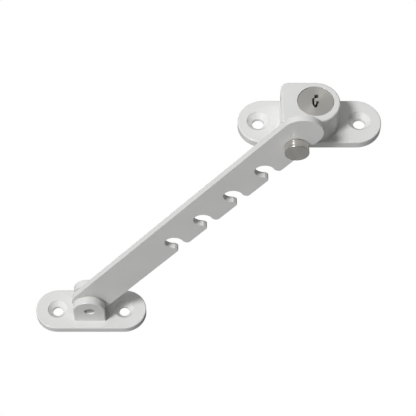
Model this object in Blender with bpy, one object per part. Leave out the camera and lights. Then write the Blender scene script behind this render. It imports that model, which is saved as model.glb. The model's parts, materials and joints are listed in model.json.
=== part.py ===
"""Key-locking notched casement stay: frame bracket, notched arm and lock unit, in metres, +Z up.

The origin is the centre of the frame bracket's underside. The arm swings in the XZ plane about a
pivot along Y. The lock unit hangs on its stud in the arm's last notch, its plate parallel to the
frame bracket's plate.
"""

from math import asin, cos, degrees, pi, radians, sin

import bmesh
import bpy
from mathutils import Matrix, Vector

# ---------------------------------------------------------------- driving dimensions (metres)

GAP = 0.0003                     # clearance between neighbouring pieces

PLATE_THICKNESS = 0.0035         # both plates
PLATE_EDGE = 0.0005              # rounding of the plates' top edge
SCREW_HOLE_RADIUS = 0.00235      # mounting holes for 4.5 mm countersunk screws
COUNTERSINK_RADIUS = 0.0044
COUNTERSINK_CONE = 0.00175       # height of the cone
COUNTERSINK_STEP = 0.0003        # straight wall between cone and plate top

FRAME_LENGTH = 0.0496            # frame bracket
FRAME_WIDTH = 0.0198
FRAME_HOLE_X = 0.015
LUG_X = -0.00025                 # lugs' centre, a little left of the pivot
LUG_RADIUS = 0.00705
LUG_CENTRE_HEIGHT = 0.01215      # centre of the lugs' round tops
LUG_THICKNESS = 0.0035
LUG_OUTER_Y = 0.0062
PIVOT_HEIGHT = 0.0118
PIVOT_BORE_RADIUS = 0.0022
PIVOT_PIN_RADIUS = 0.0019
PIVOT_PIN_HALF_LENGTH = 0.0056

ARM_ANGLE = radians(55.4)        # arm above the plates, at rest
ARM_WIDTH = 0.01624
ARM_THICKNESS = 0.0027
ARM_EDGE = 0.00015
ARM_MIDDLE = -0.00015            # arm's centre line, measured across the arm from the pivot
ARM_TIP = 0.1554                 # pivot to the centre of the round tip
ARM_BORE_RADIUS = 0.0036
NOTCH_COUNT = 5
NOTCH_FIRST = 0.06287            # pivot to the first notch
NOTCH_PITCH = 0.02134
NOTCH_OFFSET = -0.0034           # notch centres across the arm from the pivot
NOTCH_RADIUS = 0.00397
THROAT_HALF_WIDTH = 0.00315
MOUTH_RADIUS = 0.0015
SEAT_ALONG = 0.1479              # stud's axis where it bears in the last notch
SEAT_ACROSS = -0.00314

LOCK_LENGTH = 0.0560             # lock unit, in its own frame: midway between its screw holes
LOCK_WIDTH = 0.0204
LOCK_PLATE_CENTRE = (0.00025, -0.0002)
LOCK_HOLE_X = 0.01975
LOCK_Y = 0.0142                  # plate's centre line behind the arm's centre plane
BODY_LEFT_X = -0.01125
BODY_Y = -0.0004                 # body's centre line, a little in front of the cylinder
BODY_HALF_DEPTH = 0.0095
BODY_CORNER = 0.0032             # back left corner
BODY_FRONT_CORNER = 0.0010       # front left corner
BODY_HEIGHT = 0.0163
BODY_EDGE = 0.0007
CYLINDER_X = 0.0020
FACE_RADIUS = 0.00695
FACE_TOP = 0.0160
FACE_THICKNESS = 0.0016
PLUG_RADIUS = 0.0042
SHELL_RADIUS = 0.0058
SHELL_FLANGE_RADIUS = 0.0069
STUD_X = -0.0054                 # stud's axis in the lock unit
STUD_Z = 0.0086
STUD_TRAVEL = 0.0040
HEAD_RADIUS = 0.00475
HEAD_FRONT_Y = -0.0050           # stud lengths are from the arm's centre plane
HEAD_BACK_Y = -0.0017
COLLAR_RADIUS = 0.0033           # wider than the notches' throat
COLLAR_BACK_Y = 0.0022
SHANK_RADIUS = 0.0027            # narrower than the throat
SHANK_BACK_Y = 0.0130

COVER_HALF_LENGTH = 0.0149
COVER_HALF_WIDTH = 0.0080
COVER_LOW_Z = 0.0001
COVER_HIGH_Z = 0.0012
COVER_SCREW_X = 0.0126

SLIDER_LOW_Z = 0.0016
SLIDER_HIGH_Z = 0.0034
CRANK_RADIUS = STUD_TRAVEL / 2   # eccentric pin's throw: half a turn gives the stud's travel
CRANK_PIN_RADIUS = 0.0010
CRANK_CLEARANCE = 0.0005         # play of the crank pin in the slider's cross slot
CAM_RADIUS = 0.0042
CAM_LOW_Z = 0.0038
CAM_HIGH_Z = 0.0062
PLUG_LOW_Z = 0.0065
TANG_HALF_WIDTH = 0.0020
TANG_LOW_Z = 0.0053

WAFER_COUNT = 4
WAFER_FIRST_Z = 0.0087
WAFER_PITCH = 0.0015
WAFER_THICKNESS = 0.0006
WAFER_SLOT_HEIGHT = 0.0010

LOCK_PIN_Z = 0.0106              # cross pin that holds the cylinder shell in the housing
LOCK_PIN_RADIUS = 0.0008

TURN = 32                        # facets round a bore or pin


# ---------------------------------------------------------------- outlines


def arc(centre, radius, start, end, steps):
    """Points on an arc, angles in degrees, both ends included."""
    angles = [radians(start + (end - start) * i / steps) for i in range(steps + 1)]
    return [(centre[0] + radius * cos(a), centre[1] + radius * sin(a)) for a in angles]


def circle(centre, radius, steps=TURN):
    return arc(centre, radius, 0, 360, steps)[:-1]


def obround(centre, half_length, radius, steps=14):
    """A slot shape along X whose round ends reach half_length from its centre."""
    x, y = centre
    reach = half_length - radius
    return arc((x + reach, y), radius, -90, 90, steps) + arc((x - reach, y), radius, 90, 270, steps)


def rounded_box(low, high, radius, steps=4):
    (x0, y0), (x1, y1) = low, high
    corners = ((x1, y0, -90), (x1, y1, 0), (x0, y1, 90), (x0, y0, 180))
    points = []
    for x, y, start in corners:
        centre = (x + (radius if x == x0 else -radius), y + (radius if y == y0 else -radius))
        points += arc(centre, radius, start, start + 90, steps)
    return points


def body_outline(inset):
    """Lock body seen from above: square left end with rounded corners, round right end."""
    depth = BODY_HALF_DEPTH - inset
    left = BODY_LEFT_X + inset
    back = BODY_CORNER - inset
    front = BODY_FRONT_CORNER - inset
    points = arc((CYLINDER_X, BODY_Y), depth, -90, 90, 24)
    points += arc((left + back, BODY_Y + depth - back), back, 90, 180, 6)
    points += arc((left + front, BODY_Y + front - depth), front, 180, 270, 4)
    return points


def pocket_outline(left, half_depth):
    """Square left end, round right end about the cylinder."""
    return arc((CYLINDER_X, 0), half_depth, -90, 90, 20) + [(left, half_depth), (left, -half_depth)]


def lug_outline(inset):
    """Lug seen from the front (X, Z): round top, foot inside the plate."""
    radius = LUG_RADIUS - inset
    foot = PLATE_THICKNESS - 0.001
    left, right = LUG_X - radius, LUG_X + radius
    return arc((LUG_X, LUG_CENTRE_HEIGHT), radius, 0, 180, 20) + [(left, foot), (right, foot)]


def notch_points(centre_x):
    """One notch from its right mouth corner over the top to its left one."""
    half_open = degrees(asin(THROAT_HALF_WIDTH / NOTCH_RADIUS))
    bottom = ARM_MIDDLE - ARM_WIDTH / 2
    half_mouth = THROAT_HALF_WIDTH + MOUTH_RADIUS
    left = arc((centre_x - half_mouth, bottom + MOUTH_RADIUS), MOUTH_RADIUS, -90, 0, 4)
    top = arc((centre_x, NOTCH_OFFSET), NOTCH_RADIUS, 270 - half_open, -90 + half_open, 22)
    right = arc((centre_x + half_mouth, bottom + MOUTH_RADIUS), MOUTH_RADIUS, 180, 270, 4)
    return left + top + right


def arm_outline():
    """Arm in its own (length, height) plane, pivot at the origin."""
    half = ARM_WIDTH / 2
    points = arc((0, ARM_MIDDLE), half, 90, 270, 18)
    for i in range(NOTCH_COUNT):
        points += notch_points(NOTCH_FIRST + i * NOTCH_PITCH)
    points += arc((ARM_TIP, ARM_MIDDLE), half, -90, 90, 18)
    return points


def keyway_outline():
    """Keyway: a square end and a narrow neck, then a slot that bends round a ward."""
    return [
        (0.00110, 0.00325),
        (-0.00040, 0.00325),
        (-0.00040, 0.00185),
        (-0.00132, 0.00140),
        (-0.00138, -0.00080),
        (-0.00112, -0.00185),
        (-0.00068, -0.00265),
        (-0.00012, -0.00300),
        (0.00035, -0.00265),
        (0.00068, -0.00190),
        (0.00075, -0.00098),
        (0.00122, -0.00088),
        (0.00122, 0.00005),
        (0.00060, 0.00012),
        (0.00020, 0.00018),
        (0.00008, -0.00125),
        (-0.00020, -0.00160),
        (-0.00050, -0.00125),
        (-0.00060, 0.00120),
        (-0.00010, 0.00165),
        (0.00110, 0.00170),
    ]


# ---------------------------------------------------------------- solids


def new_object(name, bm):
    bmesh.ops.recalc_face_normals(bm, faces=bm.faces)
    mesh = bpy.data.meshes.new(name)
    bm.to_mesh(mesh)
    bm.free()
    obj = bpy.data.objects.new(name, mesh)
    bpy.context.scene.collection.objects.link(obj)
    return obj


def layered(name, layers, across="Z"):
    """Skin a stack of outlines with equal point counts: layers are (outline, level) pairs.

    across "Z" reads outlines as (X, Y), and "Y" reads them as (X, Z).
    """
    bm = bmesh.new()
    rings = []
    for outline, level in layers:
        if across == "Z":
            rings.append([bm.verts.new((a, b, level)) for a, b in outline])
        else:
            rings.append([bm.verts.new((a, level, b)) for a, b in outline])
    for low, high in zip(rings, rings[1:]):
        for i in range(len(low)):
            j = (i + 1) % len(low)
            bm.faces.new((low[i], low[j], high[j], high[i]))
    bm.faces.new(rings[0])
    bm.faces.new(rings[-1])
    return new_object(name, bm)


def prism(name, outline, low, high, across="Z"):
    return layered(name, [(outline, low), (outline, high)], across)


def turned(name, profile, centre=(0, 0, 0), axis="Z", steps=TURN):
    """Turn a closed (radius, height) profile about an axis; points of radius 0 lie on it."""
    bm = bmesh.new()
    rings = []
    for radius, height in profile:
        count = 1 if radius == 0 else steps
        ring = [(radius * cos(2 * pi * i / steps), radius * sin(2 * pi * i / steps)) for i in range(count)]
        rings.append([bm.verts.new((x, y, height)) for x, y in ring])
    for low, high in zip(rings, rings[1:] + rings[:1]):
        if len(low) == 1 and len(high) == 1:
            continue
        for i in range(steps):
            j = (i + 1) % steps
            corners = [low[i % len(low)], low[j % len(low)], high[j % len(high)], high[i % len(high)]]
            bm.faces.new(list(dict.fromkeys(corners)))
    turn = Matrix.Rotation(-pi / 2, 4, "X") if axis == "Y" else Matrix.Identity(4)
    bmesh.ops.transform(bm, matrix=Matrix.Translation(Vector(centre)) @ turn, verts=bm.verts)
    return new_object(name, bm)


def rod(name, radius, low, high, centre=(0, 0, 0), axis="Z", edge=0.0, steps=TURN):
    """A round bar along an axis, from low to high, with chamfered ends."""
    profile = [(0, low), (radius - edge, low), (radius, low + edge)]
    profile += [(radius, high - edge), (radius - edge, high), (0, high)]
    if edge == 0:
        profile = [(0, low), (radius, low), (radius, high), (0, high)]
    return turned(name, profile, centre, axis, steps)


def tube(name, inner, outer, low, high, centre=(0, 0, 0), axis="Z", steps=TURN):
    profile = [(inner, low), (outer, low), (outer, high), (inner, high)]
    return turned(name, profile, centre, axis, steps)


def box(name, low, high):
    outline = [(low[0], low[1]), (high[0], low[1]), (high[0], high[1]), (low[0], high[1])]
    return prism(name, outline, low[2], high[2])


def combine(target, tool, operation):
    """Apply a Boolean to target and remove the tool."""
    modifier = target.modifiers.new("combine", "BOOLEAN")
    modifier.operation = operation
    modifier.solver = "EXACT"
    modifier.object = tool
    depsgraph = bpy.context.evaluated_depsgraph_get()
    mesh = bpy.data.meshes.new_from_object(target.evaluated_get(depsgraph))
    target.modifiers.clear()
    target.data = mesh
    bpy.data.objects.remove(tool)


def cut(target, *tools):
    for tool in tools:
        combine(target, tool, "DIFFERENCE")


def join(target, *tools):
    for tool in tools:
        combine(target, tool, "UNION")


def place(obj, parent, material):
    obj.parent = parent
    obj.data.materials.clear()
    obj.data.materials.append(material)
    obj.data.shade_smooth()
    obj.data.set_sharp_from_angle(angle=radians(35))
    return obj


def empty(name, location, rotation=(0, 0, 0)):
    obj = bpy.data.objects.new(name, None)
    bpy.context.scene.collection.objects.link(obj)
    obj.location = location
    obj.rotation_euler = rotation
    return obj


def paint(name, colour, roughness, metallic=0.0):
    material = bpy.data.materials.new(name)
    material.use_nodes = True
    shader = material.node_tree.nodes["Principled BSDF"]
    shader.inputs["Base Color"].default_value = (*colour, 1)
    shader.inputs["Roughness"].default_value = roughness
    shader.inputs["Metallic"].default_value = metallic
    return material


# ---------------------------------------------------------------- shared features


def mounting_plate(name, length, width, centre=(0, 0)):
    """Round-ended plate whose top edge is rounded off."""
    half_length, radius = length / 2, width / 2
    steps = ((0, 0), (0, PLATE_THICKNESS - PLATE_EDGE))
    steps += ((PLATE_EDGE * 0.3, PLATE_THICKNESS - PLATE_EDGE * 0.3), (PLATE_EDGE, PLATE_THICKNESS))
    return layered(name, [(obround(centre, half_length - inset, radius - inset), z) for inset, z in steps])


def screw_hole_cutter(x):
    """Through hole with a wide countersink that starts a little below the plate's top."""
    margin = 0.001
    cone_top = PLATE_THICKNESS - COUNTERSINK_STEP
    profile = [
        (0, -margin),
        (SCREW_HOLE_RADIUS, -margin),
        (SCREW_HOLE_RADIUS, cone_top - COUNTERSINK_CONE),
        (COUNTERSINK_RADIUS, cone_top),
        (COUNTERSINK_RADIUS, PLATE_THICKNESS + margin),
        (0, PLATE_THICKNESS + margin),
    ]
    return turned("cutter", profile, (x, 0, 0))


def slotted_screw(name, head_radius, head_low, head_high, shank_radius, shank_end, cone, centre, axis="Z"):
    """Screw whose head spans head_low to head_high; head_low is the outer face.

    cone is True for a countersunk head. The driver slot is cut across the outer face.
    """
    under = shank_radius if cone else head_radius
    profile = [(0, head_low), (head_radius, head_low), (under, head_high)]
    profile += [(shank_radius, head_high)] if not cone else []
    profile += [(shank_radius, shank_end), (0, shank_end)]
    screw = turned(name, profile, centre, axis, 20)
    slot_half = 0.0003
    depth = 0.0005 if head_high > head_low else -0.0005
    x, y, z = centre
    if axis == "Z":
        ends = sorted((z + head_low - depth, z + head_low + depth))
        slot = box("slot", (x - 0.003, y - slot_half, ends[0]), (x + 0.003, y + slot_half, ends[1]))
    else:
        ends = sorted((y + head_low - depth, y + head_low + depth))
        slot = box("slot", (x - 0.003, ends[0], z - slot_half), (x + 0.003, ends[1], z + slot_half))
    cut(screw, slot)
    return screw


# ---------------------------------------------------------------- frame bracket


def make_frame_bracket():
    bracket = mounting_plate("frame_bracket", FRAME_LENGTH, FRAME_WIDTH)
    edge = 0.0004
    for side in (-1, 1):
        outer = side * LUG_OUTER_Y
        inner = side * (LUG_OUTER_Y - LUG_THICKNESS)
        layers = [
            (lug_outline(edge), outer),
            (lug_outline(0), outer - side * edge),
            (lug_outline(0), inner),
        ]
        join(bracket, layered("lug", layers, "Y"))
    cut(bracket, rod("bore", PIVOT_BORE_RADIUS, -0.010, 0.010, (0, 0, PIVOT_HEIGHT), "Y"))
    for x in (-FRAME_HOLE_X, FRAME_HOLE_X):
        cut(bracket, screw_hole_cutter(x))
    return bracket


def make_pivot_pin():
    half = PIVOT_PIN_HALF_LENGTH
    return rod("pivot_pin", PIVOT_PIN_RADIUS, -half, half, (0, 0, PIVOT_HEIGHT), "Y", edge=0.0003)


def make_friction_washer(name, side):
    """Flat washer between the arm's face and a lug."""
    near = ARM_THICKNESS / 2 + GAP
    far = LUG_OUTER_Y - LUG_THICKNESS - GAP
    low, high = sorted((side * near, side * far))
    return tube(name, PIVOT_BORE_RADIUS, 0.0060, low, high, (0, 0, PIVOT_HEIGHT), "Y")


# ---------------------------------------------------------------- arm, in its own frame


def make_stay_arm():
    half = ARM_THICKNESS / 2
    arm = prism("stay_arm", arm_outline(), -half, half, "Y")
    bm = bmesh.new()
    bm.from_mesh(arm.data)
    rim = [e for e in bm.edges if abs(abs(e.verts[0].co.y + e.verts[1].co.y) / 2 - half) < 1e-6]
    bmesh.ops.bevel(bm, geom=rim, offset=ARM_EDGE, segments=1, affect="EDGES", profile=0.5)
    bm.to_mesh(arm.data)
    bm.free()
    cut(arm, rod("bore", ARM_BORE_RADIUS, -0.010, 0.010, axis="Y"))
    return arm


def make_pivot_bush():
    half = ARM_THICKNESS / 2
    return tube("pivot_bush", PIVOT_BORE_RADIUS, ARM_BORE_RADIUS - GAP, -half, half, axis="Y")


# ---------------------------------------------------------------- lock unit, in its own frame


def housing_cutters():
    """Everything hollow in the lock housing."""
    far = 0.020
    front = BODY_Y - BODY_HALF_DEPTH - 0.001
    pocket_half = 0.0074
    pocket_left = -0.0096
    bush_radius = SHANK_RADIUS + 2 * GAP + 0.0009
    ledge = COVER_HIGH_Z + GAP
    cover_recess = rounded_box(
        (-COVER_HALF_LENGTH - GAP, -COVER_HALF_WIDTH - GAP),
        (COVER_HALF_LENGTH + GAP, COVER_HALF_WIDTH + GAP),
        0.003,
    )
    cutters = [
        prism("cover_recess", cover_recess, -0.001, ledge),
        prism("cam_pocket", pocket_outline(pocket_left, pocket_half), 0.001, 0.0078),
        box("tail_pocket", (-0.0094, -0.0052, 0.0070), (-0.0020, 0.0030, 0.0124)),
        rod("bush_bore", bush_radius, front, -0.0050, (STUD_X, 0, STUD_Z), "Y"),
        rod("shell_bore", SHELL_RADIUS + GAP, 0.0070, 0.0135, (CYLINDER_X, 0, 0)),
        rod("face_bore", FACE_RADIUS + 0.0002, 0.01285, far, (CYLINDER_X, 0, 0), steps=48),
        rod("pin_bore", LOCK_PIN_RADIUS + GAP, 0.0050, far, (CYLINDER_X, 0, LOCK_PIN_Z), "Y", steps=16),
    ]
    for x in (-COVER_SCREW_X, COVER_SCREW_X):
        cutters.append(rod("screw_bore", 0.0011, 0.001, 0.0029, (x, 0, 0), steps=16))
    for x in (-LOCK_HOLE_X, LOCK_HOLE_X):
        cutters.append(screw_hole_cutter(x))
    return cutters


def make_lock_housing():
    housing = mounting_plate("lock_housing", LOCK_LENGTH, LOCK_WIDTH, LOCK_PLATE_CENTRE)
    top = BODY_HEIGHT
    layers = [
        (body_outline(0), PLATE_THICKNESS - 0.001),
        (body_outline(0), top - BODY_EDGE),
        (body_outline(BODY_EDGE * 0.3), top - BODY_EDGE * 0.3),
        (body_outline(BODY_EDGE), top),
    ]
    join(housing, layered("body", layers))
    cut(housing, *housing_cutters())
    return housing


def make_cylinder_shell():
    """Flanged barrel round the plug, flattened and bored on the left where the stud passes."""
    profile = [
        (PLUG_RADIUS + GAP, 0.0080),
        (SHELL_RADIUS, 0.0080),
        (SHELL_RADIUS, 0.01315),
        (SHELL_FLANGE_RADIUS, 0.01315),
        (SHELL_FLANGE_RADIUS, 0.0141),
        (PLUG_RADIUS + GAP, 0.0141),
    ]
    shell = turned("cylinder_shell", profile, (CYLINDER_X, 0, 0))
    flat_x = -0.0029
    cut(
        shell,
        box("flat", (-0.010, -0.010, 0.0070), (flat_x, 0.010, 0.0127)),
        rod("stud_bore", SHANK_RADIUS + GAP, -0.010, -0.0004, (STUD_X, 0, STUD_Z), "Y"),
        rod("pin_bore", LOCK_PIN_RADIUS + GAP, 0.0035, 0.010, (CYLINDER_X, 0, LOCK_PIN_Z), "Y", steps=16),
    )
    return shell


def make_stud_guide_bush():
    outer = SHANK_RADIUS + GAP + 0.0009
    centre = (STUD_X, 0, STUD_Z)
    return tube("stud_guide_bush", SHANK_RADIUS + GAP, outer, -0.0096, -0.0053, centre, "Y")


def make_cylinder_pin():
    return rod("cylinder_pin", LOCK_PIN_RADIUS, 0.0049, 0.0089, (CYLINDER_X, 0, LOCK_PIN_Z), "Y", 0.0002, 16)


def make_base_cover():
    low = (-COVER_HALF_LENGTH, -COVER_HALF_WIDTH)
    high = (COVER_HALF_LENGTH, COVER_HALF_WIDTH)
    cover = prism("base_cover", rounded_box(low, high, 0.0027), COVER_LOW_Z, COVER_HIGH_Z)
    for x in (-COVER_SCREW_X, COVER_SCREW_X):
        profile = [(0, -0.001), (0.0022, -0.001), (0.0022, 0.0002), (0.0012, 0.0012), (0.0012, 0.003), (0, 0.003)]
        cut(cover, turned("sink", profile, (x, 0, 0), steps=20))
    return cover


def make_cover_screw(name, x):
    return slotted_screw(name, 0.0018, 0.0002, 0.0011, 0.0008, 0.0026, True, (x, 0, 0))


# ---------------------------------------------------------------- stud and slider, lock frame


def stud_level(y):
    """Arm-plane Y to the lock unit's own Y."""
    return y - LOCK_Y


def make_locking_stud():
    chamfer = 0.0003
    front = stud_level(HEAD_FRONT_Y)
    levels = [
        (0, front),
        (HEAD_RADIUS - chamfer, front),
        (HEAD_RADIUS, front + chamfer),
        (HEAD_RADIUS, stud_level(HEAD_BACK_Y)),
        (COLLAR_RADIUS, stud_level(HEAD_BACK_Y)),
        (COLLAR_RADIUS, stud_level(COLLAR_BACK_Y) - chamfer),
        (COLLAR_RADIUS - chamfer, stud_level(COLLAR_BACK_Y)),
        (SHANK_RADIUS, stud_level(COLLAR_BACK_Y)),
        (SHANK_RADIUS, stud_level(SHANK_BACK_Y)),
        (0.0013, stud_level(SHANK_BACK_Y)),
        (0.0013, stud_level(SHANK_BACK_Y) - 0.0035),
        (0, stud_level(SHANK_BACK_Y) - 0.0035),
    ]
    return turned("locking_stud", levels, (STUD_X, 0, STUD_Z), "Y", 40)


def make_stud_slider():
    """Plate under the cam with a cross slot for its eccentric pin, and an upright behind the stud."""
    back = stud_level(SHANK_BACK_Y) + GAP
    upright_back = back + 0.0015
    slot_half = CRANK_PIN_RADIUS + CRANK_CLEARANCE
    slider = box("stud_slider", (-0.0086, back, SLIDER_LOW_Z), (0.0066, 0.0044, SLIDER_HIGH_Z))
    upright = box("upright", (-0.0086, back, SLIDER_LOW_Z), (-0.0032, upright_back, 0.0116))
    reach = CRANK_RADIUS + slot_half
    slot = box(
        "slot",
        (CYLINDER_X - reach, CRANK_RADIUS - slot_half, 0),
        (CYLINDER_X + reach, CRANK_RADIUS + slot_half, 0.005),
    )
    join(slider, upright)
    cut(slider, slot, rod("hole", 0.0013, -0.004, 0.004, (STUD_X, 0, STUD_Z), "Y", steps=20))
    return slider


def make_slider_screw():
    head_front = stud_level(SHANK_BACK_Y) + 2 * GAP + 0.0015
    head_back = head_front + 0.0012
    tip = stud_level(SHANK_BACK_Y) - 0.0028
    centre = (STUD_X, 0, STUD_Z)
    return slotted_screw("slider_screw", 0.0019, head_back, head_front, 0.0010, tip, False, centre, "Y")


# ---------------------------------------------------------------- key plug, cylinder axis frame


def make_key_plug():
    chamfer = 0.0002
    face_low = FACE_TOP - FACE_THICKNESS
    profile = [
        (0, PLUG_LOW_Z),
        (PLUG_RADIUS, PLUG_LOW_Z),
        (PLUG_RADIUS, face_low),
        (FACE_RADIUS, face_low),
        (FACE_RADIUS, FACE_TOP - chamfer),
        (FACE_RADIUS - chamfer, FACE_TOP),
        (0, FACE_TOP),
    ]
    plug = turned("key_plug", profile, steps=48)
    tang = TANG_HALF_WIDTH
    join(plug, box("tang", (-tang, -tang, TANG_LOW_Z), (tang, tang, PLUG_LOW_Z + 0.0005)))
    cut(plug, prism("keyway", keyway_outline(), 0.0076, 0.018))
    for i in range(WAFER_COUNT):
        z = WAFER_FIRST_Z + i * WAFER_PITCH
        half = WAFER_SLOT_HEIGHT / 2
        cut(plug, box("wafer_slot", (-0.0024, -0.006, z - half), (0.0024, 0.006, z + half)))
    cut(plug, rod("screw_bore", 0.0011, 0.004, 0.0074, steps=16))
    return plug


def make_wafer(index):
    """Sprung tumbler plate with a window for the key, flush with the plug as a key holds it."""
    z = WAFER_FIRST_Z + index * WAFER_PITCH
    half = WAFER_THICKNESS / 2
    wafer = box(f"wafer_{index + 1}", (-0.0021, -0.0035, z - half), (0.0021, 0.0035, z + half))
    shift = 0.0003 * (index - 1.5)
    cut(wafer, box("window", (-0.0013, -0.0023 + shift, z - 0.001), (0.0013, 0.0023 + shift, z + 0.001)))
    return wafer


def make_drive_cam():
    """Disc on the plug's tang with the eccentric pin that moves the slider."""
    cam = rod("drive_cam", CAM_RADIUS, CAM_LOW_Z, CAM_HIGH_Z)
    join(cam, rod("crank_pin", CRANK_PIN_RADIUS, 0.0018, CAM_LOW_Z + 0.0005, (0, CRANK_RADIUS, 0), steps=20))
    seat = TANG_HALF_WIDTH + GAP
    cut(
        cam,
        box("tang_seat", (-seat, -seat, TANG_LOW_Z - GAP), (seat, seat, 0.008)),
        rod("screw_bore", 0.0011, 0.0030, 0.0060, steps=16),
    )
    return cam


def make_cam_screw():
    """Headless screw up through the cam into the plug, clear of the slider below it."""
    screw = rod("cam_screw", 0.0008, 0.0040, 0.0072, edge=0.0002, steps=16)
    cut(screw, box("slot", (-0.002, -0.0002, 0.003), (0.002, 0.0002, 0.0045)))
    return screw


# ---------------------------------------------------------------- assembly


def clear_scene():
    for obj in list(bpy.data.objects):
        bpy.data.objects.remove(obj)


def main():
    clear_scene()
    coat = paint("white_coat", (0.72, 0.72, 0.71), 0.42)
    nickel = paint("satin_nickel", (0.55, 0.53, 0.50), 0.30, 1.0)
    steel = paint("zinc_steel", (0.62, 0.63, 0.65), 0.35, 1.0)
    brass = paint("brass", (0.72, 0.55, 0.28), 0.35, 1.0)
    nylon = paint("nylon", (0.80, 0.79, 0.75), 0.50)

    seat_x = cos(ARM_ANGLE) * SEAT_ALONG - sin(ARM_ANGLE) * SEAT_ACROSS
    seat_z = sin(ARM_ANGLE) * SEAT_ALONG + cos(ARM_ANGLE) * SEAT_ACROSS
    lock_at = Vector((seat_x - STUD_X, LOCK_Y, PIVOT_HEIGHT + seat_z - STUD_Z))

    frame_axis = empty("frame_axis", (0, 0, 0))
    arm_axis = empty("arm_axis", (0, 0, PIVOT_HEIGHT), (0, -ARM_ANGLE, 0))
    lock_axis = empty("lock_axis", lock_at)
    stud_axis = empty("stud_axis", lock_at)
    plug_axis = empty("plug_axis", lock_at + Vector((CYLINDER_X, 0, 0)))

    place(make_frame_bracket(), frame_axis, coat)
    place(make_pivot_pin(), frame_axis, steel)
    place(make_friction_washer("front_washer", -1), frame_axis, nylon)
    place(make_friction_washer("rear_washer", 1), frame_axis, nylon)

    place(make_stay_arm(), arm_axis, coat)
    place(make_pivot_bush(), arm_axis, nylon)

    place(make_lock_housing(), lock_axis, coat)
    place(make_cylinder_shell(), lock_axis, brass)
    place(make_stud_guide_bush(), lock_axis, brass)
    place(make_cylinder_pin(), lock_axis, steel)
    place(make_base_cover(), lock_axis, steel)
    place(make_cover_screw("cover_screw_left", -COVER_SCREW_X), lock_axis, steel)
    place(make_cover_screw("cover_screw_right", COVER_SCREW_X), lock_axis, steel)

    place(make_locking_stud(), stud_axis, nickel)
    place(make_stud_slider(), stud_axis, steel)
    place(make_slider_screw(), stud_axis, steel)

    place(make_key_plug(), plug_axis, nickel)
    for i in range(WAFER_COUNT):
        place(make_wafer(i), plug_axis, brass)
    place(make_drive_cam(), plug_axis, steel)
    place(make_cam_screw(), plug_axis, steel)


main()
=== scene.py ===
import json
from math import asin, cos, degrees, pi, radians, sin

import bmesh
import bpy
from mathutils import Matrix, Vector


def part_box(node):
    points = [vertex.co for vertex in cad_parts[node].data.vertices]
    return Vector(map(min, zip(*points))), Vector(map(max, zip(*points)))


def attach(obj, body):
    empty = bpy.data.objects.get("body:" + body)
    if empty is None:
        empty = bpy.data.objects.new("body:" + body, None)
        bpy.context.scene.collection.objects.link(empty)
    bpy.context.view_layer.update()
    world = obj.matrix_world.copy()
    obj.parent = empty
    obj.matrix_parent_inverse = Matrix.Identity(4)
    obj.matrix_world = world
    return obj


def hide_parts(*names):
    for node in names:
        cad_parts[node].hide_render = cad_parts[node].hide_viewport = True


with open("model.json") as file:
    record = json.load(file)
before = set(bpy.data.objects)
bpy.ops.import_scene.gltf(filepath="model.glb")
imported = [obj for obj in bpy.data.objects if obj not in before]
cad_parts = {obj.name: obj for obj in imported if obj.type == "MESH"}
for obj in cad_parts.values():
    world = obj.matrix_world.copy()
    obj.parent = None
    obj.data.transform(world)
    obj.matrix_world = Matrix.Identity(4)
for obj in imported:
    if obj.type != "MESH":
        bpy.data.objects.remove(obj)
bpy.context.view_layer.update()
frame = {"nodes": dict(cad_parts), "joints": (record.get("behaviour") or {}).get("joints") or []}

# ---------------------------------------------------------------- sizes, in metres, as in the frame

joints = {joint["name"]: joint for joint in frame["joints"]}
PIVOT = Vector(joints["arm_swing"]["pos_m"])
STUD = Vector(joints["lock_swivel"]["pos_m"])
CYLINDER = Vector(joints["key_turn"]["pos_m"])
CYLINDER_X = 0.0020
LOCK = Vector((CYLINDER.x - CYLINDER_X, CYLINDER.y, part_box("lock_housing")[0].z))

GAP = 0.0003
PLATE_THICKNESS = 0.0035
PLATE_EDGE = 0.0005
SCREW_HOLE_RADIUS = 0.00235
COUNTERSINK_RADIUS = 0.0044
COUNTERSINK_CONE = 0.00175
COUNTERSINK_STEP = 0.0003
PLATE_LOW_EDGE = 0.0002          # softened edge of the underside
RIM = 0.00025                    # softened rim of drilled holes
FILLET = 0.0007                  # cast fillet at the foot of the lugs
BODY_FILLET = 0.00045            # the same at the foot of the lock's body
PAST = 0.001                     # how far a cutter reaches past a face
SKIN = 0.00002                   # overlap that keeps two joined faces off one plane

FRAME_HALF_LENGTH = 0.0248
FRAME_RADIUS = 0.0099
FRAME_HOLE_X = 0.015
LUG_X = -0.00025
LUG_RADIUS = 0.00705
LUG_CENTRE_HEIGHT = 0.01215
LUG_THICKNESS = 0.0035
LUG_OUTER_Y = 0.0062
LUG_EDGE = 0.0005
PIVOT_BORE_RADIUS = 0.0022
PIVOT_PIN_RADIUS = 0.0019
PIVOT_PIN_HALF_LENGTH = 0.0056
PIVOT_PIN_EDGE = 0.0002
WASHER_RADIUS = 0.0060
WASHER_EDGE = 0.00012

ARM_ANGLE = radians(55.4)
ARM_HALF_WIDTH = 0.00812
ARM_HALF_THICKNESS = 0.00135
ARM_EDGE = 0.00013
ARM_MIDDLE = -0.00015            # arm's centre line, across the arm from the pivot
ARM_TIP = 0.1554
ARM_BORE_RADIUS = 0.0036
NOTCH_COUNT = 5
NOTCH_FIRST = 0.06287
NOTCH_PITCH = 0.02134
NOTCH_OFFSET = -0.0034
NOTCH_RADIUS = 0.00397
THROAT_HALF_WIDTH = 0.00315
MOUTH_RADIUS = 0.0015

LOCK_HALF_LENGTH = 0.0280
LOCK_RADIUS = 0.0102
LOCK_PLATE_CENTRE = (0.00025, -0.0002)
LOCK_HOLE_X = 0.01975
BODY_LEFT_X = -0.01125
BODY_Y = -0.0004
BODY_HALF_DEPTH = 0.0095
BODY_CORNER = 0.0032
BODY_FRONT_CORNER = 0.0010
BODY_HEIGHT = 0.0163
BODY_EDGE = 0.0007

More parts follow.
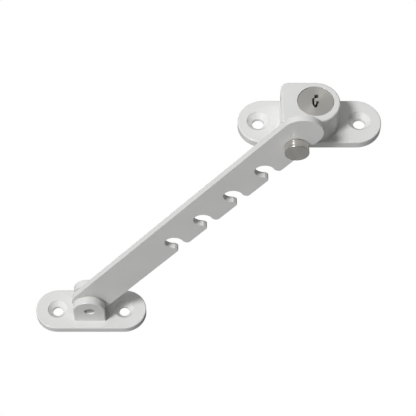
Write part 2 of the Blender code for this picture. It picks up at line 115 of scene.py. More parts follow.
FACE_RADIUS = 0.00695
FACE_TOP = 0.0160
FACE_THICKNESS = 0.0016
FACE_EDGE = 0.00004
FACE_GAP = 0.00012               # gap round the cylinder's face, and the softened rim of its mouth
FACE_SEAT_GAP = 0.0002           # wider gap below the mouth
FACE_SEAT_LOW_Z = 0.01285
FACE_SEAT_HIGH_Z = 0.0140
FACE_MOUTH_LOW_Z = 0.0142
PLUG_RADIUS = 0.0042
PLUG_LOW_Z = 0.0065
KEYWAY_Z = (0.0100, 0.018)
SHELL_RADIUS = 0.0058
SHELL_BORE_Z = (0.0070, 0.0135)
LOCK_PIN_Z = 0.0106
LOCK_PIN_RADIUS = 0.0008
LOCK_PIN_BORE_FRONT_Y = 0.0050
ABOVE = 0.02                     # farther out than any face of the lock's body

STUD_X = -0.0054
STUD_Z = 0.0086
STUD_TAP_RADIUS = 0.0013
STUD_TAP_DEPTH = 0.0035
HEAD_RADIUS = 0.00475
HEAD_EDGE = 0.00014
HEAD_BACK_EDGE = 0.0002
HEAD_FRONT_Y = -0.0050
HEAD_BACK_Y = -0.0017
COLLAR_RADIUS = 0.0033
COLLAR_EDGE = 0.0003
COLLAR_BACK_Y = 0.0022
SHANK_RADIUS = 0.0027
SHANK_EDGE = 0.0003
SHANK_BACK_Y = 0.0130
BUSH_WALL = 0.0009
BUSH_BORE_BACK_Y = -0.0050

CAM_POCKET_RADIUS = 0.0074
CAM_POCKET_LEFT_X = -0.0096
CAM_POCKET_Z = (0.001, 0.0078)
TAIL_POCKET_LOW = (-0.0094, -0.0052, 0.0070)
TAIL_POCKET_HIGH = (-0.0020, 0.0030, 0.0124)
COVER_HALF_LENGTH = 0.0149
COVER_HALF_WIDTH = 0.0080
COVER_CORNER = 0.0027
COVER_RECESS_CORNER = 0.003
COVER_HIGH_Z = 0.0012
COVER_LOW_Z = 0.0001
COVER_EDGE = 0.0002
COVER_SCREW_X = 0.0126
SCREW_BORE_RADIUS = 0.0011
SCREW_BORE_Z = (0.001, 0.0029)
SCREW_HEAD_LOW_Z = 0.0002
SCREW_SLOT = (0.0009, 0.0002, 0.0005)   # half length, half width and depth of the driver's cross

TURN = 96
BOOLEAN_SCALE = 1024

# ---------------------------------------------------------------- outlines


def arc(centre, radius, start, end, steps):
    """Points on an arc, angles in degrees, both ends included."""
    angles = [radians(start + (end - start) * i / steps) for i in range(steps + 1)]
    return [(centre[0] + radius * cos(a), centre[1] + radius * sin(a)) for a in angles]


def obround(centre, half_length, radius, steps=48):
    """A bar with round ends, half_length from its centre to either end."""
    x, y = centre
    reach = half_length - radius
    return arc((x + reach, y), radius, -90, 90, steps) + arc((x - reach, y), radius, 90, 270, steps)


def rounded_box(low, high, radius, steps=10):
    """A rectangle with four equal round corners."""
    (x0, y0), (x1, y1) = low, high
    points = []
    for x, y, start in ((x1, y0, -90), (x1, y1, 0), (x0, y1, 90), (x0, y0, 180)):
        centre = (x + (radius if x == x0 else -radius), y + (radius if y == y0 else -radius))
        points += arc(centre, radius, start, start + 90, steps)
    return points


def body_outline(inset):
    """Lock body seen from above, in the lock's own frame."""
    depth = BODY_HALF_DEPTH - inset
    left = BODY_LEFT_X + inset
    back = BODY_CORNER - inset
    front = BODY_FRONT_CORNER - inset
    points = arc((CYLINDER_X, BODY_Y), depth, -90, 90, 64)
    points += arc((left + back, BODY_Y + depth - back), back, 90, 180, 14)
    points += arc((left + front, BODY_Y + front - depth), front, 180, 270, 8)
    return points


def lug_outline(inset):
    """Lug seen from the front (X, Z), its foot inside the plate."""
    radius = LUG_RADIUS - inset
    foot = PLATE_THICKNESS - PAST
    left, right = LUG_X - radius, LUG_X + radius
    return arc((LUG_X, LUG_CENTRE_HEIGHT), radius, 0, 180, 64) + [(left, foot), (right, foot)]


def notch_points(centre_x, inset):
    """One notch in the arm's lower edge: rounded mouth, throat and round seat."""
    half_open = degrees(asin((THROAT_HALF_WIDTH + inset) / (NOTCH_RADIUS + inset)))
    bottom = ARM_MIDDLE - ARM_HALF_WIDTH
    reach = THROAT_HALF_WIDTH + MOUTH_RADIUS
    mouth = MOUTH_RADIUS - inset
    left = arc((centre_x - reach, bottom + MOUTH_RADIUS), mouth, -90, 0, 8)
    top = arc((centre_x, NOTCH_OFFSET), NOTCH_RADIUS + inset, 270 - half_open, -90 + half_open, 56)
    right = arc((centre_x + reach, bottom + MOUTH_RADIUS), mouth, 180, 270, 8)
    return left + top + right


def arm_outline(inset):
    """Arm in its own (length, height) plane, pivot at the origin."""
    half = ARM_HALF_WIDTH - inset
    points = arc((0, ARM_MIDDLE), half, 90, 270, 48)
    for i in range(NOTCH_COUNT):
        points += notch_points(NOTCH_FIRST + i * NOTCH_PITCH, inset)
    points += arc((ARM_TIP, ARM_MIDDLE), half, -90, 90, 48)
    return points


def round_over(radius, steps=6):
    """(inset, rise) pairs up a quarter-round edge, rise from 0 to radius."""
    turns = [pi / 2 * i / steps for i in range(steps + 1)]
    return [(radius * (1 - cos(a)), radius * sin(a)) for a in turns]


# ---------------------------------------------------------------- solids


def new_object(name, bm):
    """Turn a bmesh into an object of the scene."""
    bmesh.ops.recalc_face_normals(bm, faces=bm.faces)
    mesh = bpy.data.meshes.new(name)
    bm.to_mesh(mesh)
    bm.free()
    obj = bpy.data.objects.new(name, mesh)
    bpy.context.scene.collection.objects.link(obj)
    return obj


def layered(name, layers, across="Z"):
    """Skin a stack of (outline, level) pairs whose outlines have equal point counts."""
    bm = bmesh.new()
    rings = []
    for outline, level in layers:
        if across == "Z":
            rings.append([bm.verts.new((a, b, level)) for a, b in outline])
        else:
            rings.append([bm.verts.new((a, level, b)) for a, b in outline])
    for low, high in zip(rings, rings[1:]):
        for i in range(len(low)):
            j = (i + 1) % len(low)
            bm.faces.new((low[i], low[j], high[j], high[i]))
    bm.faces.new(rings[0])
    bm.faces.new(rings[-1])
    return new_object(name, bm)


def prism(name, outline, low, high):
    """An outline with straight sides from low to high."""
    return layered(name, [(outline, low), (outline, high)])


def turned(name, profile, centre=(0, 0, 0), axis="Z", steps=TURN):
    """Turn a closed (radius, height) profile about an axis; points of radius 0 lie on it."""
    bm = bmesh.new()
    rings = []
    for radius, height in profile:
        count = 1 if radius == 0 else steps
        angles = [2 * pi * i / steps for i in range(count)]
        rings.append([bm.verts.new((radius * cos(a), radius * sin(a), height)) for a in angles])
    for low, high in zip(rings, rings[1:] + rings[:1]):
        if len(low) == 1 and len(high) == 1:
            continue
        for i in range(steps):
            j = (i + 1) % steps
            near = [low[i % len(low)], low[j % len(low)]]
            far = [high[j % len(high)], high[i % len(high)]]
            bm.faces.new(list(dict.fromkeys(near + far)))
    turn = Matrix.Rotation(-pi / 2, 4, "X") if axis == "Y" else Matrix.Identity(4)
    bmesh.ops.transform(bm, matrix=Matrix.Translation(Vector(centre)) @ turn, verts=bm.verts)
    return new_object(name, bm)


def rod(name, radius, low, high, centre=(0, 0, 0), axis="Z", edge=0.0, steps=TURN):
    """A round bar from low to high, its ends rounded over by edge."""
    if edge == 0:
        return turned(name, [(0, low), (radius, low), (radius, high), (0, high)], centre, axis, steps)
    curve = round_over(edge, 4)
    top = [(radius - inset, high - edge + rise) for inset, rise in curve]
    bottom = [(radius - inset, low + edge - rise) for inset, rise in reversed(curve)]
    return turned(name, [(0, low)] + bottom + top + [(0, high)], centre, axis, steps)


def ring(name, inner, outer, low, high, centre, axis, edge):
    """A washer or bush with rounded rims."""
    curve = round_over(edge, 3)
    profile = [(outer - inset, low + edge - rise) for inset, rise in reversed(curve)]
    profile += [(outer - inset, high - edge + rise) for inset, rise in curve]
    profile += [(inner + inset, high - edge + rise) for inset, rise in reversed(curve)]
    profile += [(inner + inset, low + edge - rise) for inset, rise in curve]
    return turned(name, profile, centre, axis)


def box(name, low, high):
    """A block from one corner to the opposite one."""
    (x0, y0, z0), (x1, y1, z1) = low, high
    return prism(name, [(x0, y0), (x1, y0), (x1, y1), (x0, y1)], z0, z1)


def combine(target, tool, operation):
    """Boolean at a larger scale, where the solver's own tolerances are small beside the details."""
    for obj in (target, tool):
        obj.data.transform(Matrix.Scale(BOOLEAN_SCALE, 4))
    modifier = target.modifiers.new("combine", "BOOLEAN")
    modifier.operation = operation
    modifier.solver = "MANIFOLD"
    modifier.object = tool
    depsgraph = bpy.context.evaluated_depsgraph_get()
    mesh = bpy.data.meshes.new_from_object(target.evaluated_get(depsgraph))
    target.modifiers.clear()
    target.data = mesh
    target.data.transform(Matrix.Scale(1 / BOOLEAN_SCALE, 4))
    bpy.data.objects.remove(tool)


def cut(target, *tools):
    """Take each tool out of the target, in order."""
    for tool in tools:
        combine(target, tool, "DIFFERENCE")


def join(target, *tools):
    """Add each tool to the target, in order."""
    for tool in tools:
        combine(target, tool, "UNION")


def mounting_plate(name, half_length, radius, centre=(0, 0)):
    """Round-ended plate with a rounded top edge and a softened bottom edge."""
    soft = PLATE_LOW_EDGE
    layers = [
        (obround(centre, half_length - soft, radius - soft), 0),
        (obround(centre, half_length, radius), soft),
    ]
    for inset, rise in round_over(PLATE_EDGE):
        z = PLATE_THICKNESS - PLATE_EDGE + rise
        layers.append((obround(centre, half_length - inset, radius - inset), z))
    return layered(name, layers)


def screw_hole_cutter(x):
    """Through hole with a wide countersink, its rims softened."""
    top = PLATE_THICKNESS
    cone_top = top - COUNTERSINK_STEP
    cone_low = cone_top - COUNTERSINK_CONE
    soft = RIM * 0.6
    profile = [
        (0, -PAST),
        (SCREW_HOLE_RADIUS + RIM, -PAST),
        (SCREW_HOLE_RADIUS + RIM, 0),
        (SCREW_HOLE_RADIUS, RIM),
        (SCREW_HOLE_RADIUS, cone_low - soft),
        (SCREW_HOLE_RADIUS + soft * 0.3, cone_low - soft * 0.3),
        (SCREW_HOLE_RADIUS + soft, cone_low + soft * 0.8),
        (COUNTERSINK_RADIUS - soft, cone_top - soft),
        (COUNTERSINK_RADIUS, cone_top + soft * 0.5),
        (COUNTERSINK_RADIUS, top - soft * 0.5),
        (COUNTERSINK_RADIUS + soft * 0.5, top + SKIN),
        (COUNTERSINK_RADIUS + soft * 0.5, top + PAST),
        (0, top + PAST),
    ]
    return turned("cutter", profile, (x, 0, 0))


def skirt(outline, radius, base, sunk=0.0003):
    """Concave fillet round the foot of a wall that stands on a flat top at height base."""
    spread = 0.00005
    layers = [(outline(-radius - spread), base - sunk)]
    steps = 7
    for i in range(steps + 1):
        a = pi / 2 * i / steps
        reach = radius * (1 - sin(a))
        layers.append((outline(-reach + SKIN), base - SKIN + radius * (1 - cos(a))))
    return layered("skirt", layers)


# ---------------------------------------------------------------- frame bracket


def lug(side):
    """One lug, more rounded on its outer face than on the face towards the arm."""
    outer = side * LUG_OUTER_Y
    inner = side * (LUG_OUTER_Y - LUG_THICKNESS)
    soft = LUG_EDGE / 2
    outside = reversed(round_over(LUG_EDGE, 5))
    layers = [(lug_outline(inset), outer + side * (rise - LUG_EDGE)) for inset, rise in outside]
    layers += [(lug_outline(inset), inner - side * (rise - soft)) for inset, rise in round_over(soft, 3)]
    return layered("lug", layers, "Y")


def lug_skirt(side):
    """Cast fillet round the foot of one lug."""
    low_y, high_y = sorted((side * LUG_OUTER_Y, side * (LUG_OUTER_Y - LUG_THICKNESS)))

    def foot(inset):
        low = (LUG_X - LUG_RADIUS + inset, low_y + inset)
        high = (LUG_X + LUG_RADIUS - inset, high_y - inset)
        return rounded_box(low, high, LUG_EDGE * 0.9 - min(inset, 0), 8)

    return skirt(foot, FILLET, PLATE_THICKNESS)


def pivot_bore(side):
    """Cutter for the pin's bore in one lug, its rims softened."""
    outer = LUG_OUTER_Y
    inner = LUG_OUTER_Y - LUG_THICKNESS
    wide = PIVOT_BORE_RADIUS + RIM
    profile = [
        (0, inner - PAST),
        (wide, inner - PAST),
        (wide, inner),
        (PIVOT_BORE_RADIUS, inner + RIM),
        (PIVOT_BORE_RADIUS, outer - RIM),
        (PIVOT_BORE_RADIUS + RIM * 0.3, outer - RIM * 0.3),
        (wide, outer),
        (wide, outer + PAST),
        (0, outer + PAST),
    ]
    if side < 0:
        profile = [(radius, -height) for radius, height in reversed(profile)]
    return turned("bore", profile, (0, 0, PIVOT.z), "Y")


def bracket_casting():
    """Plate and two lugs, with the pin's bores and the screw holes."""
    bracket = mounting_plate("bracket_casting", FRAME_HALF_LENGTH, FRAME_RADIUS)
    for side in (-1, 1):
        join(bracket, lug(side), lug_skirt(side))
    for side in (-1, 1):
        cut(bracket, pivot_bore(side))
    for x in (-FRAME_HOLE_X, FRAME_HOLE_X):
        cut(bracket, screw_hole_cutter(x))
    return bracket


def pivot_pin():
    """Plain pin, its flat ends a little below the lugs' faces."""
    half = PIVOT_PIN_HALF_LENGTH
    centre = (0, 0, PIVOT.z)
    return rod("pivot_pin_fine", PIVOT_PIN_RADIUS, -half, half, centre, "Y", PIVOT_PIN_EDGE)


def washer(name, side):
    """Washer that fills the room between the arm and one lug."""
    near = ARM_HALF_THICKNESS + GAP
    far = LUG_OUTER_Y - LUG_THICKNESS - GAP
    low, high = sorted((side * near, side * far))
    return ring(name, PIVOT_BORE_RADIUS, WASHER_RADIUS, low, high, (0, 0, PIVOT.z), "Y", WASHER_EDGE)


# ---------------------------------------------------------------- arm


def arm_bar():
    """Flat arm with its notches and bore, turned up about the pivot."""
    half = ARM_HALF_THICKNESS
    curve = round_over(ARM_EDGE, 4)
    layers = [(arm_outline(inset), -half + ARM_EDGE - rise) for inset, rise in reversed(curve)]
    layers += [(arm_outline(inset), half - ARM_EDGE + rise) for inset, rise in curve]
    arm = layered("arm_bar", layers, "Y")
    cut(arm, rod("bore", ARM_BORE_RADIUS, -0.01, 0.01, axis="Y"))
    place = Matrix.Translation(PIVOT) @ Matrix.Rotation(-ARM_ANGLE, 4, "Y")
    arm.data.transform(place)
    return arm


# ---------------------------------------------------------------- lock unit


def lock_body():
    """The body's walls, rounded over at the top."""
    layers = [(body_outline(0), PLATE_THICKNESS - PAST)]
    for inset, rise in round_over(BODY_EDGE, 8):
        layers.append((body_outline(inset), BODY_HEIGHT - BODY_EDGE + rise))
    return layered("body", layers)


def body_skirt():
    """Cast fillet at the body's foot, held back from the rounded front edge of the plate."""
    front = BODY_Y - BODY_HALF_DEPTH - 0.00003

    def foot(inset):
        return [(x, max(y, front)) for x, y in body_outline(inset)]

    return skirt(foot, BODY_FILLET, PLATE_THICKNESS, sunk=0.0008)


def face_bore():
    """Cutter for the seat of the cylinder's face and the mouth above it."""
    seat = FACE_RADIUS + FACE_SEAT_GAP
    mouth = FACE_RADIUS + FACE_GAP
    rim = FACE_GAP
    profile = [
        (0, FACE_SEAT_LOW_Z),
        (seat, FACE_SEAT_LOW_Z),
        (seat, FACE_SEAT_HIGH_Z),
        (mouth, FACE_MOUTH_LOW_Z),
        (mouth, BODY_HEIGHT - rim),
        (mouth + rim * 0.3, BODY_HEIGHT - rim * 0.3),
        (mouth + rim, BODY_HEIGHT),
        (mouth + rim, ABOVE),
        (0, ABOVE),
    ]
    return turned("face_bore", profile, (CYLINDER_X, 0, 0), steps=128)


def bush_bore():
    """Cutter for the stud's guide bush, its mouth softened."""
    front = BODY_Y - BODY_HALF_DEPTH
    radius = SHANK_RADIUS + 2 * GAP + BUSH_WALL
    profile = [
        (0, front - PAST),
        (radius + RIM, front - PAST),
        (radius + RIM, front),
        (radius, front + RIM),
        (radius, BUSH_BORE_BACK_Y),
        (0, BUSH_BORE_BACK_Y),
    ]
    return turned("bush_bore", profile, (STUD_X, 0, STUD_Z), "Y")


def cavities():
    """Cutters for the cover's recess and the room for the cam, the stud and the cylinder."""
    low = (-COVER_HALF_LENGTH - GAP, -COVER_HALF_WIDTH - GAP)
    high = (COVER_HALF_LENGTH + GAP, COVER_HALF_WIDTH + GAP)
    recess = rounded_box(low, high, COVER_RECESS_CORNER)
    side, left = CAM_POCKET_RADIUS, CAM_POCKET_LEFT_X
    pocket = arc((CYLINDER_X, 0), side, -90, 90, 40) + [(left, side), (left, -side)]
    pin_place = (CYLINDER_X, 0, LOCK_PIN_Z)
    return (
        prism("cover_recess", recess, -PAST, COVER_HIGH_Z + GAP),
        prism("cam_pocket", pocket, *CAM_POCKET_Z),
        box("tail_pocket", TAIL_POCKET_LOW, TAIL_POCKET_HIGH),
        bush_bore(),
        rod("shell_bore", SHELL_RADIUS + GAP, *SHELL_BORE_Z, (CYLINDER_X, 0, 0)),
        face_bore(),
        rod("pin_bore", LOCK_PIN_RADIUS + GAP, LOCK_PIN_BORE_FRONT_Y, ABOVE, pin_place, "Y", steps=32),
    )


def lock_casting():
    """Plate and body, hollowed for the mechanism and drilled for the screws."""
    lock = mounting_plate("lock_casting", LOCK_HALF_LENGTH, LOCK_RADIUS, LOCK_PLATE_CENTRE)
    join(lock, lock_body(), body_skirt())
    cut(lock, *cavities())
    for x in (-COVER_SCREW_X, COVER_SCREW_X):
        cut(lock, rod("screw_bore", SCREW_BORE_RADIUS, *SCREW_BORE_Z, (x, 0, 0), steps=32))
    for x in (-LOCK_HOLE_X, LOCK_HOLE_X):
        cut(lock, screw_hole_cutter(x))
    lock.data.transform(Matrix.Translation(LOCK))
    return lock


def cover_plate():
    """Thin plate in the recess of the underside, with two countersunk holes."""
    soft = COVER_EDGE

    def outline(inset):
        x, y = COVER_HALF_LENGTH - inset, COVER_HALF_WIDTH - inset
        return rounded_box((-x, -y), (x, y), COVER_CORNER - inset)

    layers = [(outline(soft), COVER_LOW_Z), (outline(soft * 0.3), COVER_LOW_Z + soft * 0.3)]
    layers += [(outline(0), COVER_LOW_Z + soft), (outline(0), COVER_HIGH_Z)]
    cover = layered("cover_plate", layers)
    wide, narrow = 0.0022, 0.0012
    for x in (-COVER_SCREW_X, COVER_SCREW_X):
        sink = [(0, -PAST), (wide, -PAST), (wide, 0.0002), (narrow, 0.0012), (narrow, 0.003), (0, 0.003)]
        cut(cover, turned("sink", sink, (x, 0, 0)))
    cover.data.transform(Matrix.Translation(LOCK))
    return cover


def cover_screw(name, x):
    """Small countersunk screw, seen from below, with a cross-shaped driver recess."""
    head = SCREW_HEAD_LOW_Z
    shank, end = 0.0008, 0.0026
    profile = [(0, head), (0.0017, head), (0.0018, head + 0.0001), (shank, 0.0011), (shank, end), (0, end)]
    screw = turned(name, profile, (x, 0, 0), steps=64)
    arm, half, depth = SCREW_SLOT
    for half_x, half_y in ((arm, half), (half, arm)):
        cut(screw, box("slot", (x - half_x, -half_y, head - PAST), (x + half_x, half_y, head + depth)))
    screw.data.transform(Matrix.Translation(LOCK))
    return screw


def stud_turning():
    """Stud: a head, a collar that fills the notch, and a thinner shank tapped at its back end."""
    front = reversed(round_over(HEAD_EDGE, 5))
    head = [(HEAD_RADIUS - inset, HEAD_FRONT_Y + HEAD_EDGE - rise) for inset, rise in front]
    collar_at = COLLAR_BACK_Y - COLLAR_EDGE
    profile = [(0, HEAD_FRONT_Y)] + head
    profile += [(HEAD_RADIUS, HEAD_BACK_Y - HEAD_BACK_EDGE), (HEAD_RADIUS - HEAD_BACK_EDGE, HEAD_BACK_Y)]
    profile += [(COLLAR_RADIUS, HEAD_BACK_Y)]
    profile += [(COLLAR_RADIUS - inset, collar_at + rise) for inset, rise in round_over(COLLAR_EDGE, 4)]
    profile += [(SHANK_RADIUS, COLLAR_BACK_Y), (SHANK_RADIUS, SHANK_BACK_Y - SHANK_EDGE)]
    profile += [(SHANK_RADIUS - SHANK_EDGE, SHANK_BACK_Y), (STUD_TAP_RADIUS, SHANK_BACK_Y)]
    profile += [(STUD_TAP_RADIUS, SHANK_BACK_Y - STUD_TAP_DEPTH), (0, SHANK_BACK_Y - STUD_TAP_DEPTH)]
    return turned("stud_turning", profile, (STUD.x, 0, STUD.z), "Y", 128)


def keyway_outline():
    """Keyway: a square end and a narrow neck, then a slot that bends round a ward."""
    return [
        (0.00110, 0.00325),
        (-0.00040, 0.00325),
        (-0.00040, 0.00185),
        (-0.00132, 0.00140),
        (-0.00138, -0.00080),
        (-0.00112, -0.00185),
        (-0.00068, -0.00265),
        (-0.00012, -0.00300),
        (0.00035, -0.00265),
        (0.00068, -0.00190),
        (0.00075, -0.00098),
        (0.00122, -0.00088),
        (0.00122, 0.00005),
        (0.00060, 0.00012),
        (0.00020, 0.00018),
        (0.00008, -0.00125),
        (-0.00020, -0.00160),
        (-0.00050, -0.00125),
        (-0.00060, 0.00120),
        (-0.00010, 0.00165),
        (0.00110, 0.00170),
    ]


def plug_turning():
    """Plug and the wider face on top of it, with the keyway cut down into them."""
    face_low = FACE_TOP - FACE_THICKNESS
    edge = FACE_EDGE
    profile = [(0, PLUG_LOW_Z), (PLUG_RADIUS, PLUG_LOW_Z), (PLUG_RADIUS, face_low), (FACE_RADIUS, face_low)]
    profile += [(FACE_RADIUS - inset, FACE_TOP - edge + rise) for inset, rise in round_over(edge, 5)]
    profile += [(0, FACE_TOP)]
    plug = turned("plug_turning", profile, steps=128)
    cut(plug, prism("keyway", keyway_outline(), *KEYWAY_Z))
    plug.data.transform(Matrix.Translation((CYLINDER.x, CYLINDER.y, LOCK.z)))
    return plug


# ---------------------------------------------------------------- materials

RING_PITCH = 0.00012             # lathe rings on turned metal
# painted shade inside the keyway: below this depth under the cylinder's face the plug turns dark and
# non-metallic, faded in over the next height
KEYWAY_SHADE_DEPTH = 0.0003       # below the cylinder's face
KEYWAY_SHADE_FADE = 0.0002
STUD_NICKEL = (0.78, 0.76, 0.71)
FACE_NICKEL = (0.66, 0.64, 0.60)
ZINC = (0.66, 0.67, 0.69)
PIN_STEEL = (0.56, 0.56, 0.55)
BRASS = (0.75, 0.58, 0.30)
WASHER_LOW = (0.72, 0.70, 0.64)
WASHER_HIGH = (0.78, 0.76, 0.70)
COAT_LOW = (0.79, 0.79, 0.775)
COAT_HIGH = (0.83, 0.83, 0.825)


class Nodes:
    """Short way to add and link the nodes of one tree."""

    def __init__(self, tree):
        self.tree = tree

    def add(self, kind, inputs=None, **settings):
        """A node with its settings, and its inputs set or linked."""
        node = self.tree.nodes.new(kind)
        for key, value in settings.items():
            setattr(node, key, value)
        for key, value in (inputs or {}).items():
            if isinstance(value, bpy.types.NodeSocket):
                self.tree.links.new(value, node.inputs[key])
            else:
                node.inputs[key].default_value = value
        return node


class Surface(Nodes):
    """A new material, its Principled shader and the textures that feed it."""

    def __init__(self, name):
        self.material = bpy.data.materials.new(name)
        self.material.use_nodes = True
        super().__init__(self.material.node_tree)
        self.shader = self.tree.nodes["Principled BSDF"]

    def coordinates(self):
        """Places in the piece's own space."""
        return self.add("ShaderNodeTexCoord").outputs["Object"]

    def noise(self, vector, scale, detail=3.0, roughness=0.5):
        """A cloud of values from 0 to 1, scale of them in a metre."""
        values = {"Vector": vector, "Scale": scale, "Detail": detail, "Roughness": roughness}
        return self.add("ShaderNodeTexNoise", values).outputs["Fac"]

    def ramp(self, value, low, high, low_at=0.3, high_at=0.7):
        """Map a 0 to 1 value onto two colours."""
        node = self.add("ShaderNodeValToRGB", {"Fac": value})
        node.color_ramp.elements[0].position = low_at
        node.color_ramp.elements[1].position = high_at
        node.color_ramp.elements[0].color = (*low, 1)
        node.color_ramp.elements[1].color = (*high, 1)
        return node.outputs["Color"]

    def span(self, value, low, high):
        """Map a 0 to 1 value onto a range of numbers."""
        values = {"Value": value, "From Min": 0.3, "From Max": 0.7, "To Min": low, "To Max": high}
        return self.add("ShaderNodeMapRange", values).outputs["Result"]

    def bump(self, height, strength, distance, normal=None):
        """Fine relief, on top of another one if normal is given."""
        values = {"Height": height, "Strength": strength, "Distance": distance}
        if normal is not None:
            values["Normal"] = normal
        return self.add("ShaderNodeBump", values).outputs["Normal"]

    def set(self, **sockets):
        """Set or link inputs of the shader, their names written with underscores."""
        for key, value in sockets.items():
            socket = self.shader.inputs[key.replace("_", " ")]
            if isinstance(value, bpy.types.NodeSocket):
                self.tree.links.new(value, socket)
            else:
                socket.default_value = value


def powder_coat():
    """White powder coat: fine orange peel, a slow drift in gloss and a trace of warm and cool."""
    n = Surface("white_powder_coat")
    where = n.coordinates()
    drift = n.noise(where, 60, 2)
    peel = n.noise(where, 1500, 2, 0.4)
    grain = n.noise(where, 5200, 3, 0.6)
    n.set(Base_Color=n.ramp(drift, COAT_LOW, COAT_HIGH))
    n.set(Roughness=n.span(grain, 0.18, 0.25), IOR=1.50)
    coarse = n.bump(peel, 0.20, 0.00001)
    n.set(Normal=n.bump(grain, 0.15, 0.000003, coarse))
    return n.material


def turned_metal(name, colour, roughness, streak, axis_at, axis, shade_below=None):
    """Plated metal with fine rings left by the lathe, round an axis through axis_at.

    Below the last argument's height, inside a keyway, the plating gives way to a dark, non-metallic painted
    shade.
    """
    n = Surface(name)
    where = n.coordinates()
    back = tuple(-c for c in axis_at)
    shift = n.add("ShaderNodeVectorMath", {0: where, 1: back}, operation="ADD").outputs[0]
    keep = (1, 1, 0) if axis == "Z" else (1, 0, 1)
    flat = n.add("ShaderNodeVectorMath", {0: shift, 1: keep}, operation="MULTIPLY").outputs[0]
    radius = n.add("ShaderNodeVectorMath", {0: flat}, operation="LENGTH").outputs["Value"]
    turns = n.add("ShaderNodeMath", {0: radius, 1: 1 / RING_PITCH}, operation="MULTIPLY").outputs[0]
    along = n.add("ShaderNodeCombineXYZ", {"X": turns}).outputs[0]
    rings = n.noise(along, 1.0, 4, 0.7)
    if shade_below is None:
        cloud = n.noise(where, 500, 3)
        n.set(Base_Color=n.ramp(cloud, tuple(c * 0.94 for c in colour), colour), Metallic=1.0)
    else:
        # painted shade in the keyway: below the level the colour falls to a quarter and the metal sheen
        # goes
        height = n.add("ShaderNodeSeparateXYZ", {0: where}).outputs["Z"]
        values = {"Value": height, "From Min": shade_below - KEYWAY_SHADE_FADE, "From Max": shade_below}
        unshaded = n.add("ShaderNodeMapRange", values).outputs["Result"]
        shade = n.ramp(unshaded, tuple(c * 0.25 for c in colour), colour, 0.0, 1.0)
        n.set(Metallic=unshaded, Base_Color=shade)
    n.set(Anisotropic=streak, Anisotropic_Rotation=0.25)
    n.set(Tangent=n.add("ShaderNodeTangent", direction_type="RADIAL", axis=axis).outputs[0])
    n.set(Roughness=n.span(rings, roughness * 0.85, roughness * 1.2))
    n.set(Normal=n.bump(rings, 0.20, 0.000003))
    return n.material


def plain_metal(name, colour, roughness):
    """Plated or machined metal with a fine random grain."""
    n = Surface(name)
    where = n.coordinates()
    grain = n.noise(where, 2600, 4, 0.6)
    cloud = n.noise(where, 300, 3)
    low = tuple(c * 0.88 for c in colour)
    n.set(Base_Color=n.ramp(cloud, low, colour), Metallic=1.0)
    n.set(Roughness=n.span(grain, roughness * 0.8, roughness * 1.25))
    n.set(Normal=n.bump(grain, 0.25, 0.000005))
    return n.material


def nylon():
    """Off-white nylon, matt and a little translucent."""
    n = Surface("natural_nylon")
    where = n.coordinates()
    grain = n.noise(where, 1800, 3, 0.6)
    n.set(Base_Color=n.ramp(n.noise(where, 200, 2), WASHER_LOW, WASHER_HIGH))
    n.set(Roughness=n.span(grain, 0.45, 0.6), Normal=n.bump(grain, 0.3, 0.00001))
    n.set(Subsurface_Weight=0.15, Subsurface_Scale=0.001)
    return n.material


# ---------------------------------------------------------------- dressing

SHARP_ANGLE = radians(28)


def dress(obj, body, slot, material, *nodes):
    """Smooth shading, a material, a body to ride on and the CAD nodes that a piece stands for."""
    obj.data.materials.clear()
    obj.data.materials.append(material)
    obj.data.shade_smooth()
    obj.data.set_sharp_from_angle(angle=SHARP_ANGLE)
    normals = obj.modifiers.new("face_normals", "WEIGHTED_NORMAL")
    normals.keep_sharp = True
    normals.weight = 100
    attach(obj, body)
    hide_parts(*nodes)


def finish_node(name, material):
    """A CAD node that stays, with the finer material."""
    node = frame["nodes"][name]
    node.data.materials.clear()
    node.data.materials.append(material)


def build():
    """Make the fine pieces, and give the CAD nodes that stay their materials."""
    # level below which the cylinder's keyway gets its painted shade
    keyway_shade_level = LOCK.z + FACE_TOP - KEYWAY_SHADE_DEPTH
    coat = powder_coat()
    stud_metal = turned_metal("stud_nickel", STUD_NICKEL, 0.25, 0.8, STUD, "Y")
    face_metal = turned_metal("cylinder_nickel", FACE_NICKEL, 0.34, 0.6, CYLINDER, "Z", keyway_shade_level)
    zinc = plain_metal("zinc_plate", ZINC, 0.34)
    pin_steel = plain_metal("pin_steel", PIN_STEEL, 0.50)
    brass = plain_metal("machined_brass", BRASS, 0.30)
    white_nylon = nylon()

    dress(bracket_casting(), "frame_bracket", "white_coat", coat, "frame_bracket")
    dress(pivot_pin(), "frame_bracket", "zinc_steel", pin_steel, "pivot_pin")
    for name, side in (("front_washer", -1), ("rear_washer", 1)):
        dress(washer(name + "_fine", side), "frame_bracket", "nylon", white_nylon, name)
    dress(arm_bar(), "stay_arm", "white_coat", coat, "stay_arm")
    dress(lock_casting(), "lock_unit", "white_coat", coat, "lock_housing")
    dress(cover_plate(), "lock_unit", "zinc_steel", zinc, "base_cover")
    for name, x in (("cover_screw_left", -COVER_SCREW_X), ("cover_screw_right", COVER_SCREW_X)):
        dress(cover_screw(name + "_fine", x), "lock_unit", "zinc_steel", zinc, name)
    dress(stud_turning(), "locking_stud", "satin_nickel", stud_metal, "locking_stud")
    dress(plug_turning(), "key_plug", "satin_nickel", face_metal, "key_plug")

    finish_node("pivot_bush", white_nylon)
    for name in ("cylinder_shell", "stud_guide_bush", "wafer_1", "wafer_2", "wafer_3", "wafer_4"):
        finish_node(name, brass)
    for name in ("cylinder_pin", "stud_slider", "slider_screw", "drive_cam", "cam_screw"):
        finish_node(name, zinc)


# ---------------------------------------------------------------- stage

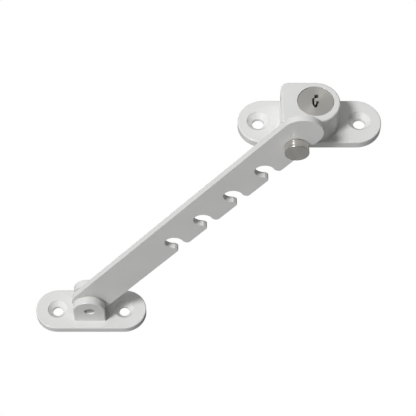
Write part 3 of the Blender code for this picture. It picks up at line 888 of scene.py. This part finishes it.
WHITE = (1, 1, 1, 1)
FLOOR_HALF_SIZE = 3.0
FLOOR_Z = -0.0004
FLOOR_GREY = (0.34, 0.34, 0.34, 1)
AMBIENT = 0.03
PANELS = (                       # direction, cosine of the half angle, strength
    ((-0.10, 0.62, 0.78), 0.62, 0.58),
    ((-0.50, -0.78, 0.38), 0.45, 0.51),
)
KEY_TOWARDS = (-0.46, -0.32, 0.83)
KEY_ENERGY = 2.18
KEY_ANGLE = radians(14)
CAMERA_PLACE = (0.05267, -0.3500, 0.6192)
CAMERA_DOWN = radians(56.70)
LENS = 135.7
SENSOR = 36


def floor():
    """Pale floor, white to the camera, that gives back a soft grey bounce."""
    bm = bmesh.new()
    bmesh.ops.create_grid(bm, x_segments=1, y_segments=1, size=FLOOR_HALF_SIZE)
    obj = new_object("floor", bm)
    obj.location.z = FLOOR_Z
    n = Surface("pale_floor")
    n.set(Base_Color=FLOOR_GREY, Roughness=0.9, Specular_IOR_Level=0.0)
    glow = n.add("ShaderNodeEmission", {"Color": WHITE, "Strength": 1.0})
    seen = n.add("ShaderNodeLightPath").outputs["Is Camera Ray"]
    mix = n.add("ShaderNodeMixShader", {0: seen, 1: n.shader.outputs[0], 2: glow.outputs[0]})
    n.tree.links.new(mix.outputs[0], n.tree.nodes["Material Output"].inputs["Surface"])
    obj.data.materials.append(n.material)


def sky():
    """White backdrop for the camera, and for the light a dim studio with soft white panels."""
    world = bpy.data.worlds.new("studio")
    bpy.context.scene.world = world
    world.use_nodes = True
    n = Nodes(world.node_tree)
    where = n.add("ShaderNodeTexCoord").outputs["Generated"]
    total = AMBIENT
    for direction, edge, strength in PANELS:
        towards = Vector(direction).normalized()
        nearness = n.add("ShaderNodeVectorMath", {0: where, 1: towards}, operation="DOT_PRODUCT")
        values = {"Value": nearness.outputs["Value"], "From Min": edge, "To Max": strength}
        level = n.add("ShaderNodeMapRange", values).outputs["Result"]
        total = n.add("ShaderNodeMath", {0: level, 1: total}).outputs[0]
    studio = n.tree.nodes["Background"]
    studio.inputs["Color"].default_value = WHITE
    n.tree.links.new(total, studio.inputs["Strength"])
    backdrop = n.add("ShaderNodeBackground", {"Color": WHITE})
    seen = n.add("ShaderNodeLightPath").outputs["Is Camera Ray"]
    mix = n.add("ShaderNodeMixShader", {0: seen, 1: studio.outputs[0], 2: backdrop.outputs[0]})
    n.tree.links.new(mix.outputs[0], n.tree.nodes["World Output"].inputs["Surface"])


def key_light():
    """Broad soft light from the upper left, a little in front."""
    light = bpy.data.lights.new("key", "SUN")
    light.energy = KEY_ENERGY
    light.angle = KEY_ANGLE
    obj = bpy.data.objects.new("key", light)
    bpy.context.scene.collection.objects.link(obj)
    obj.rotation_euler = Vector(KEY_TOWARDS).to_track_quat("Z", "Y").to_euler()


def camera():
    """Long lens looking along +Y and down."""
    lens = bpy.data.cameras.new("camera")
    lens.lens = LENS
    lens.sensor_width = SENSOR
    obj = bpy.data.objects.new("camera", lens)
    bpy.context.scene.collection.objects.link(obj)
    obj.location = CAMERA_PLACE
    obj.rotation_euler = (radians(90) - CAMERA_DOWN, 0, 0)
    bpy.context.scene.camera = obj


build()
floor()
sky()
key_light()
camera()
bpy.context.scene.view_settings.view_transform = "Standard"
